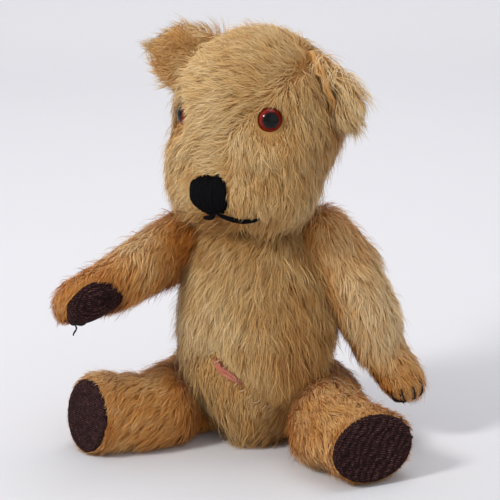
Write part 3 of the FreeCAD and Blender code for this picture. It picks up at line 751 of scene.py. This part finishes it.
def settled_torso(places, normals):
    """The belly narrows to a point between the thighs. It keeps its shape where the hip discs press."""
    x, y, z = places.T
    low = 1 - step(z, 3 * MM, 52 * MM)
    stay = np.ones(len(places))
    for name in ("left_hip", "right_hip"):
        stay *= step(np.linalg.norm(places - joint_place(name), axis=1), 14 * MM, 23 * MM)
    ahead = 1 - step(y, 2 * MM, 22 * MM)
    return np.stack([-0.42 * x * low, -0.16 * y * low, 0 * z], 1) * (stay * ahead)[:, None]


def settled_leg(word):
    """The thighs bulge inwards ahead of the belly, where nothing presses on them."""
    side = 1 if word == "left" else -1

    def shift(places, normals):
        start, way, reach = limb_axis(word, "leg")
        out = dot(places - start, way) / reach
        bulge = step(out, 0.22, 0.48) * (1 - step(out, 0.62, 0.92))
        inwards = step(-side * normals[:, 0] + 0.35 * normals[:, 2], -0.1, 0.7)
        room = np.clip(gap_to(unfilled_torso_tree, places) - 1.2 * MM, 0, 8.5 * MM)
        return normals * (bulge * inwards * room)[:, None]
    return shift


def settled_foot(places, normals):
    """The left foot's toes have turned further outwards, and its sole is broader and flatter."""
    start, way, reach = limb_axis("left", "leg")
    out = dot(places - start, way) / reach
    turn = -math.radians(24) * step(out, 0.5, 0.86)[:, None]
    across = places - start - (out * reach)[:, None] * way
    turned = across * np.cos(turn) + np.cross(way, across) * np.sin(turn)
    level = unit(np.cross(way, [0.0, 0.0, 1.0]))
    broad = step(out, 0.55, 0.9)
    wider = dot(turned, level) * 0.16 * broad
    flatter = -0.07 * broad * turned[:, 2] - 1.2 * MM * broad
    return turned - across + wider[:, None] * level + flatter[:, None] * np.array([0.0, 0.0, 1.0])


def tucked_pad(places, normals):
    """The outer edge of the left paw's pad is turned in under the mohair."""
    return normals * (-2.2 * MM * step(normals[:, 0] - normals[:, 1], -0.6, -0.4))[:, None]


reshape(torso, settled_torso)
unfilled_torso_tree = tree_of(torso)
for word in ("left", "right"):
    reshape(limbs[word, "leg"], settled_leg(word))
reshape(head, settled_head)
reshape(limbs["left", "arm"], settled_arm)
reshape(pads["left", "arm"], tucked_pad)
for ob in (limbs["left", "leg"], pads["left", "leg"]):
    reshape(ob, settled_foot)
for word, ob in ears.items():
    reshape(ob, settled_ear(word))


def firmly_held(ob, places):
    """Covers are held where a disc presses them, and round a pad that is sewn on."""
    held = np.zeros(len(places))
    for joint in frame["joints"]:
        centre = np.array(joint["pos_m"])
        held = np.maximum(held, 1 - step(np.linalg.norm(places - centre, axis=1), 14 * MM, 20 * MM))
    for key, limb in limbs.items():
        if limb == ob:
            held = np.maximum(held, 1 - step(gap_to(tree_of(pads[key]), places), 1.5 * MM, 5 * MM))
    return held


swell([torso, head] + list(limbs.values()), firmly_held)


# ---------------- what the strands follow


def field(places, *vector):
    """The same direction at every place, or one whose parts change with the place."""
    return np.stack([np.broadcast_to(part, len(places)) for part in vector], 1).astype(float)


torso_tree = tree_of(torso)
head_tree = tree_of(head)
limb_trees = {key: tree_of(ob) for key, ob in limbs.items()}
pad_trees = {key: tree_of(ob) for key, ob in pads.items()}
eye_trees = tree_of(frame["nodes"]["left_eye"], frame["nodes"]["right_eye"])
nose_tree = tree_of(frame["nodes"]["nose_stitches"])
ear_tree = tree_of(*ears.values())
mend_tree = tree_of(frame["nodes"]["belly_mend_stitches"])


def near_joint(places, joint_names, clear):
    """1 well away from these joints' discs, 0 on them."""
    free = np.ones(len(places))
    for name in joint_names:
        away = np.linalg.norm(places - joint_place(name), axis=1)
        free *= step(away, clear, clear + 3 * MM)
    return free


# Where cloth shows between the strands: the belly's mend, and the worn edge of the left ear.

MEND_CORNERS = np.array([(-13.2, -38.2, 57.6), (-9.3, -38.9, 51.6), (-2.5, -39.6, 48.3),
                         (3.3, -39.1, 43.3)]) * MM
WORN_CORNERS = from_head(np.array([(27.0, 4.0, 227.0), (34.0, -3.0, 219.4), (41.0, -4.0, 209.7),
                                   (45.0, 0.0, 198.0)]) * MM)
MEND_EDGE = laid(smooth_line(MEND_CORNERS, 12), torso_tree, 2.0 * MM)
WORN_EDGE = laid(smooth_line(WORN_CORNERS, 16), head_tree, 7.0 * MM)

# The mouth's two strokes: aside and height in the head's frame, and how far they lie off it.
MOUTH_CORNERS = [
    [(2.6, 148.2, 3.0), (8.0, 146.2, 3.6), (13.4, 145.0, 4.0), (18.0, 144.8, 4.0), (24.0, 145.8, 3.4)],
    [(2.6, 148.0, 3.0), (-1.6, 145.4, 3.8), (-7.5, 144.4, 3.8)]]


def on_head(aside, height, lift):
    """A place over the front of the head: aside to the bear's left, at this height."""
    start, way = from_head(np.array([[aside, -0.12, height], [0.0, 1.0, 0.0]]))
    spot, normal = head_tree.ray_cast(Vector(start), Vector(way))[:2]
    return np.array(spot) + np.array(normal) * lift


MOUTH_LINES = [np.array([on_head(*(np.array(corner) * MM)) for corner in smooth_line(part, 12)])
               for part in MOUTH_CORNERS]
MOUTH_LINE = np.vstack(MOUTH_LINES)


def gap_to_line(line, places):
    """How far each place is from the nearest point of a line."""
    return np.min([np.linalg.norm(places - point, axis=1) for point in line], axis=0)


# Torso: straight down, a little outward lower down, swirling to the middle at the bottom.

def torso_density(places, normals):
    free = near_joint(places, ("left_shoulder", "right_shoulder"), 11 * MM)
    free *= near_joint(places, ("left_hip", "right_hip"), 13 * MM)
    free *= near_joint(places, ("neck_turn",), 13 * MM)
    free *= step(gap_to_line(MEND_EDGE, places), 3.0 * MM, 4.2 * MM)
    seat = step(places[:, 2], 0.5 * MM, 3 * MM) * 0.7 + 0.3
    return 1.85 * free * seat


def torso_length(places, normals):
    length = 13.5 * MM * (1 + 0.12 * wobble(places, 14 * MM, 31))
    mend = np.minimum(gap_to(mend_tree, places, 20 * MM), gap_to_line(MEND_EDGE, places))
    return np.minimum(1.22 * length, 2.2 * MM + 0.85 * mend)


def torso_comb(places, normals):
    x, y, z = places.T
    low = 1 - step(z, 12 * MM, 45 * MM)
    out = field(places, x * 4 + 0.32 * wobble(places, 22 * MM, 11), y * 4, -1.0)
    crotch = field(places, -x * 26 + 0.3 * wobble(places, 12 * MM, 12), -0.5, -0.55)
    return out * (1 - low)[:, None] + crotch * low[:, None]


def torso_tone(places, normals):
    x, _, z = places.T
    golden = step(x, 12 * MM, 36 * MM) * step(z, 40 * MM, 75 * MM) * 0.14
    return (0.31 + golden + 0.16 * wobble(places, 26 * MM, 21) + 0.09 * wobble(places, 7 * MM, 22)
            + 0.20 * (1 - step(z, 8 * MM, 80 * MM)) + 0.12 * step(z, 108 * MM, 124 * MM))


# Head: sideways over the forehead and snout, down the cheeks, back over the crown.

def head_density(places, normals):
    free = near_joint(places, ("neck_turn",), 14 * MM)
    free *= step(gap_to(nose_tree, places), 0.4 * MM, 1.2 * MM)
    free *= step(gap_to(eye_trees, places), 0.9 * MM, 2.0 * MM)
    free *= 0.1 + 0.9 * step(gap_to_line(MOUTH_LINE, places), 2.0 * MM, 4.0 * MM)
    free *= step(gap_to_line(WORN_EDGE, places), 5.5 * MM, 8.5 * MM)
    return 1.95 * free


def head_length(places, normals):
    _, y, z = in_head(places).T
    snout = step(-y, 30 * MM, 46 * MM) * (1 - step(z, 172 * MM, 186 * MM))
    length = 13.0 * MM * (1 - 0.42 * snout) * (1 + 0.12 * wobble(places, 14 * MM, 32))
    eyes = gap_to(eye_trees, places, 10 * MM)
    length *= 0.26 + 0.74 * step(eyes, 1.5 * MM, 9 * MM)
    nose = gap_to(nose_tree, places, 8 * MM)
    length *= 0.55 + 0.45 * step(nose, 0, 6 * MM)
    length *= 0.4 + 0.6 * step(gap_to_line(MOUTH_LINE, places), 3.0 * MM, 8 * MM)
    chin = step(-y, 5 * MM, 30 * MM) * (1 - step(z, 136 * MM, 150 * MM))
    return length * (1 + 0.7 * chin)


def head_comb(places, normals):
    x, y, z = in_head(places).T
    gusset = 10 * MM + 24 * MM * step(z, 186 * MM, 226 * MM)
    middle = (1 - step(np.abs(x), gusset * 0.8, gusset * 1.2)) * (1 - step(y, 2 * MM, 22 * MM))
    middle *= 1 - step(-dot(normals, HEAD_BACK[:, 0]), 0.75, 0.95)
    front = step(-y, 0, 20 * MM)
    crown = step(z, 205 * MM, 232 * MM)
    swirl = wobble(places, 20 * MM, 13)
    over = field(places, -1.0, 0.25, -0.08 + 0.25 * swirl)
    aside = 0.18 * np.sign(x) - 0.55 * step(-x, 0, 20 * MM) + 0.35 * swirl
    down = field(places, aside, -0.12 * front, -1.0)
    back = field(places, x * 12 + 0.3 * swirl, 1.0, -0.4)
    mixed = over * middle[:, None] + down * (1 - middle)[:, None]
    behind = (step(y, 5 * MM, 25 * MM) * crown)[:, None]
    return from_head(mixed * (1 - behind) + back * behind)


def head_tone(places, normals):
    x, _, z = in_head(places).T
    eyes = 1 - step(gap_to(eye_trees, places, 12 * MM), 0, 9 * MM)
    ear = 1 - step(gap_to(ear_tree, places, 14 * MM), 0, 12 * MM)
    under = 1 - step(z, 134 * MM, 150 * MM)
    cheek = step(np.abs(x), 18 * MM, 40 * MM) * (1 - step(z, 180 * MM, 205 * MM))
    far = 0.12 * step(x, -34 * MM, -10 * MM)
    return (0.15 + far + 0.12 * eyes + 0.22 * ear + 0.16 * under + 0.14 * cheek
            + 0.08 * wobble(places, 22 * MM, 23) + 0.08 * wobble(places, 6 * MM, 24))


# Limbs: along the limb towards its end, and hanging.

LIMB_SEEDS = {("left", "arm"): 40, ("right", "arm"): 50, ("left", "leg"): 60, ("right", "leg"): 70}


def limb_groom(word, part):
    start, way, reach = limb_axis(word, part)
    side = 1 if word == "left" else -1
    joint = f"{word}_{JOINT_OF[part]}"
    disc = 12 * MM if part == "arm" else 15 * MM
    pad_tree = pad_trees[word, part]
    sewn_node = f"{word}_claw_stitches" if part == "arm" else "left_toe_stitches"
    claw_tree = tree_of(frame["nodes"][sewn_node])
    seed = LIMB_SEEDS[word, part]

    def density(places, normals):
        free = near_joint(places, (joint,), disc)
        pad_clear = step(gap_to(pad_tree, places, 5 * MM), 0.7 * MM, 1.1 * MM)
        if (word, part) == ("left", "arm"):
            pad_clear = np.maximum(pad_clear, step(normals[:, 0] - normals[:, 1], -0.55, -0.35))
        return 1.75 * free * pad_clear

    def length(places, normals):
        full = (12.5 if part == "arm" else 10.5) * MM * (1 + 0.15 * wobble(places, 12 * MM, seed + 1))
        full *= 1 - 0.40 * step(dot(places - start, way) / reach, 0.72, 1.0)
        rim = gap_to(pad_tree, places, 12 * MM)
        claws = gap_to(claw_tree, places, 6 * MM)
        return full * (0.5 + 0.5 * step(rim, 0, 8 * MM)) * (0.35 + 0.65 * step(claws, 0.5 * MM, 4 * MM))

    def comb(places, normals):
        sway = 0.4 * wobble(places, 16 * MM, seed + 2)
        along = np.tile(way, (len(places), 1))
        aside = np.cross(way, normals)
        return along + DOWN * 0.55 + aside * sway[:, None]

    def tone(places, normals):
        out = np.clip(dot(places - start, way) / reach, 0, 1)
        inner = step(-side * normals[:, 0], -0.1, 0.7)
        near = 1 - step(out, 0.05, 0.55)
        if part == "leg":
            base = 0.36 + 0.22 * near + 0.10 * inner
        elif word == "right":
            base = 0.26 + 0.34 * near + 0.22 * inner + 0.28 * step(out, 0.6, 0.95)
        else:
            base = 0.10 + 0.20 * near + 0.30 * inner + 0.28 * step(out, 0.6, 0.95)
        return base + 0.09 * wobble(places, 20 * MM, seed + 3) + 0.07 * wobble(places, 6 * MM, seed + 4)

    return Groom(density, length, comb, tone), seed


# Ears: away from their middle, the left one hanging, the right one outwards. Shorter inside the cup.

def ear_groom(word):
    middle = middle_of(f"{word}_ear")
    if word == "left":
        seed, longest, cup_shortening, way, spread = 80, 15.0 * MM, 0.15, (0.5, 0.1, -1.0), 14
        base, cup_tone = 0.0, 0.12
    else:
        seed, longest, cup_shortening, way, spread = 90, 12.0 * MM, 0.5, (-0.55, 0.2, 0.1), 38
        base, cup_tone = 0.18, 0.30

    def density(places, normals):
        free = step(gap_to(head_tree, places, 4 * MM), 0.5 * MM, 1.5 * MM)
        return 2.0 * free * step(gap_to_line(WORN_EDGE, places), 2.0 * MM, 3.5 * MM)

    def cupped(normals):
        return step(dot(normals, -HEAD_BACK[:, 1]), 0.3, 0.8)

    def length(places, normals):
        full = longest * (1 + 0.35 * wobble(places, 6 * MM, seed + 1))
        return full * (1 - cup_shortening * cupped(normals))

    def comb(places, normals):
        swirl = 0.4 * wobble(places, 8 * MM, seed + 2)
        return field(places, *way) + (places - middle) * spread + swirl[:, None]

    def tone(places, normals):
        return base + cup_tone * cupped(normals) + 0.09 * wobble(places, 8 * MM, seed + 3)

    return Groom(density, length, comb, tone), seed


# ---------------- pieces


def settled_stuffing(node, body, shift):
    """The stuffing takes the shape that its cover has settled into."""
    ob = new_object(node.replace("stuffing", "filling"), frame["nodes"][node].data.copy(), WOOD_WOOL)
    reshape(ob, shift)
    attach(ob, body, "wood_wool", node)


def cover(ob, body, slot, node):
    """A soft cover stands for its CAD solid."""
    attach(ob, body, slot, node)


for (word, part), ob in limbs.items():
    groom, seed = limb_groom(word, part)
    fur(f"{word}_{part}_mohair", ob, f"{word}_{part}", "mohair_golden", MOHAIR_GOLDEN, groom, seed, 0.0)
for word, ob in ears.items():
    groom, seed = ear_groom(word)
    fur(f"{word}_ear_mohair", ob, "head", "mohair_pale", MOHAIR_PALE, groom, seed)
fur("torso_mohair", torso, "torso", "mohair_pale", MOHAIR_PALE,
    Groom(torso_density, torso_length, torso_comb, torso_tone), 10, 0.0, 2)
fur("head_mohair", head, "head", "mohair_pale", MOHAIR_PALE,
    Groom(head_density, head_length, head_comb, head_tone), 20, -1.0, 2)

settled_stuffing("torso_stuffing", "torso", settled_torso)
settled_stuffing("head_stuffing", "head", settled_head)
settled_stuffing("left_leg_stuffing", "left_leg", settled_foot)
cover(torso, "torso", "mohair_pale", "torso_cover")
cover(head, "head", "mohair_pale", "head_cover")
for (word, part), ob in limbs.items():
    cover(ob, f"{word}_{part}", "mohair_golden", f"{word}_{part}_cover")
    cloth = pads[word, part]
    set_coordinates(cloth.data, coordinates(cloth.data) + vertex_normals(cloth.data) * 0.45 * MM)
    cover(cloth, f"{word}_{part}", "pad_cloth", f"{word}_{PAD_OF[part]}_pad")
for word, ob in ears.items():
    cover(ob, "head", "mohair_pale", f"{word}_ear")


# Threads and yarn.

def frayed(line, count, spread, seed):
    """Strands that wander along one line."""
    rng = np.random.default_rng(seed)
    along = np.linspace(0, 1, len(line))
    strands = []
    for _ in range(count):
        aside = rng.normal(0, spread, (6, 3))
        shifts = [np.interp(along, np.linspace(0, 1, 6), part) for part in aside.T]
        strands.append(line + np.stack(shifts, 1))
    return strands


def nose_yarn():
    """Upright strands of black wool laid side by side in a shield, whose top rises at the bear's left."""
    lines = []
    rng = np.random.default_rng(5)
    for aside in np.linspace(-10.6, 10.4, 19):
        top = 11.2 - 0.028 * aside ** 2 + 2.2 * math.exp(-((aside - 6) / 2.6) ** 2) + rng.normal(0, 0.25)
        low = -10.2 + 0.05 * aside ** 2 + rng.normal(0, 0.25)
        dome = 1.3 + 1.5 * (1 - (aside / 12) ** 2) + rng.normal(0, 0.12)
        slant = rng.normal(0, 0.8)
        line = []
        for share in np.linspace(0, 1, 11):
            bow = math.sin(math.pi * share) ** 0.45
            lean = -2.0 + aside + slant * (share - 0.5) + rng.normal(0, 0.10)
            height = 154.7 + top + (low - top) * share
            line.append(on_head(lean * MM, height * MM, (dome * bow + 0.3) * MM))
        lines.append(np.array(line))
    return tubes("nose_yarn", lines, 1.3 * MM, BLACK_WOOL, 0.75)


attach(nose_yarn(), "head", "black_thread", "nose_stitches")
attach(tubes("mouth_yarn", MOUTH_LINES, 1.5 * MM, BLACK_WOOL, 0.35),
       "head", "black_thread", "mouth_stitches")
for word, part, node in (("left", "arm", "left_claw_stitches"), ("right", "arm", "right_claw_stitches"),
                         ("left", "leg", "left_toe_stitches")):
    tree = limb_trees[word, part]
    lift = (2.3 if node == "left_claw_stitches" else 0.9) * MM
    lines = stitch_lines(node, 9)
    if node == "left_toe_stitches":
        lines = [line + settled_foot(line, None) for line in lines]
    lines = [laid(line, tree, lift) for line in lines]
    if node == "right_claw_stitches":
        hang = np.linspace(0, 1, 9)[:, None]
        curl = np.sin(hang * 5) * np.array([0.9, 0.3, 0.0]) * MM
        lines.append(lines[0][4] + hang * DOWN * 6.5 * MM + curl)
    attach(tubes(node.replace("stitches", "thread"), lines, 0.55 * MM, BLACK_THREAD, 0.6),
           f"{word}_{part}", "black_thread", node)
for name, lift, radius in (("belly_mend", 2.6 * MM, 0.38 * MM), ("back_seam", 1.2 * MM, 0.4 * MM)):
    lines = [laid(line, torso_tree, lift) for line in stitch_lines(f"{name}_stitches")]
    attach(tubes(f"{name}_thread", lines, radius, PALE_THREAD, 0.5), "torso", "pale_thread",
           f"{name}_stitches")
attach(tubes("belly_mend_edge", frayed(MEND_EDGE, 7, 0.9 * MM, 3), 1.1 * MM, BACKING_PINK, 0.2),
       "torso", "mohair_pale")
attach(tubes("left_ear_worn_edge", frayed(WORN_EDGE, 10, 1.1 * MM, 4), 1.0 * MM, BACKING_WORN, 0.2),
       "head", "mohair_pale")


MATERIAL_OF = {"disc": HARDBOARD, "washer": STEEL, "pin": STEEL, "shank": STEEL, "stuffing": WOOD_WOOL,
               "claw": BLACK_THREAD, "toe": BLACK_THREAD, "nose": BLACK_WOOL, "mouth": BLACK_WOOL,
               "mend": PALE_THREAD, "seam": PALE_THREAD, "pupil": PUPIL_BLACK}
for node, ob in frame["nodes"].items():
    for part, material in MATERIAL_OF.items():
        if part in node:
            paint(ob.data, material)
            break

for word in ("left", "right"):
    centre = middle_of(f"{word}_pupil")
    axis = unit(centre - middle_of(f"{word}_eye_shank"))
    paint(frame["nodes"][f"{word}_eye"].data, amber_glass(f"{word}_amber_glass", centre, axis))


# ---------------- stage, lights, camera


def backdrop():
    """A pale sweep: a floor that curves up into a wall behind the bear."""
    near, bend, radius, top, half_width = -3.0, 1.2, 0.8, 4.0, 4.0
    profile = [(near, 0.0), (bend, 0.0)]
    for number in range(1, 13):
        angle = math.radians(90 * number / 12)
        profile.append((bend + radius * math.sin(angle), radius - radius * math.cos(angle)))
    profile.append((bend + radius, top))
    verts, faces = [], []
    for y, z in profile:
        verts += [(-half_width, y, z), (half_width, y, z)]
    for number in range(len(profile) - 1):
        first = 2 * number
        faces.append((first, first + 1, first + 3, first + 2))
    mesh = bpy.data.meshes.new("backdrop")
    mesh.from_pydata(verts, [], faces)
    mesh.polygons.foreach_set("use_smooth", [True] * len(faces))
    s = Surface("backdrop")
    distance = s.node("SeparateXYZ", {"Vector": s.place()}).outputs["Y"]
    share = s.node("MapRange", {"Value": distance, "From Min": -0.2, "From Max": 1.4}).outputs[0]
    # Painted light: the sweep is darkest on the floor in front of and round the bear, and lightens
    # towards and up the wall, standing in for how the light falls on it.
    painted_falloff = s.ramp(share, [(0.0, colour(212, 212, 215)), (0.25, colour(224, 224, 228)),
                           (1.0, colour(246, 246, 249))])
    cloudy = s.ramp(s.noise(3.0), [(0.3, grey(0.985)), (0.7, grey(1.0))])
    s.set(Base_Color=s.times(painted_falloff, cloudy), Roughness=0.95, Specular_IOR_Level=0.1)
    ob = new_object("backdrop", mesh, s.material)
    ob.rotation_euler = (0, 0, VIEW_AZIMUTH)


def area_light(name, place, target, size, power, tint):
    data = bpy.data.lights.new(name, "AREA")
    data.shape = "DISK"
    data.size = size
    data.energy = power
    data.color = tint
    ob = bpy.data.objects.new(name, data)
    ob.location = place
    ob.rotation_euler = (Vector(target) - Vector(place)).to_track_quat("-Z", "Y").to_euler()
    bpy.context.scene.collection.objects.link(ob)


backdrop()
area_light("key", (-0.84, -1.05, 1.1), (0, 0, 0.12), 0.38, 16.0, (1.0, 0.985, 0.96))
area_light("fill", (1.3, -0.9, 0.7), (0, 0, 0.12), 2.0, 3.2, (0.97, 0.98, 1.0))
area_light("top", (0.1, 0.35, 1.5), (0, 0, 0.1), 1.2, 8.0, (1.0, 1.0, 1.0))

world = bpy.data.worlds.new("studio")
world.use_nodes = True
background = world.node_tree.nodes["Background"]
background.inputs["Color"].default_value = (0.97, 0.97, 1.0, 1.0)
background.inputs["Strength"].default_value = 0.55
scene = bpy.context.scene
scene.world = world
scene.view_settings.view_transform = "Standard"

# The camera: how far it stands, how wide the view is there, and where its middle lies.
CAMERA_DISTANCE = 1.2
VIEW_WIDTH = 0.29
AIM_ASIDE = -0.0046
AIM_HEIGHT = 0.109
data = bpy.data.cameras.new("camera")
data.sensor_width = 36
data.lens = data.sensor_width * CAMERA_DISTANCE / VIEW_WIDTH
camera = bpy.data.objects.new("camera", data)
scene.collection.objects.link(camera)
back = Vector((math.sin(VIEW_AZIMUTH) * math.cos(VIEW_ELEVATION),
               -math.cos(VIEW_AZIMUTH) * math.cos(VIEW_ELEVATION), math.sin(VIEW_ELEVATION)))
aim = Vector((AIM_ASIDE * math.cos(VIEW_AZIMUTH), AIM_ASIDE * math.sin(VIEW_AZIMUTH),
              AIM_HEIGHT / math.cos(VIEW_ELEVATION)))
camera.location = aim + back * CAMERA_DISTANCE
camera.rotation_euler = (-back).to_track_quat("-Z", "Y").to_euler()
scene.camera = camera
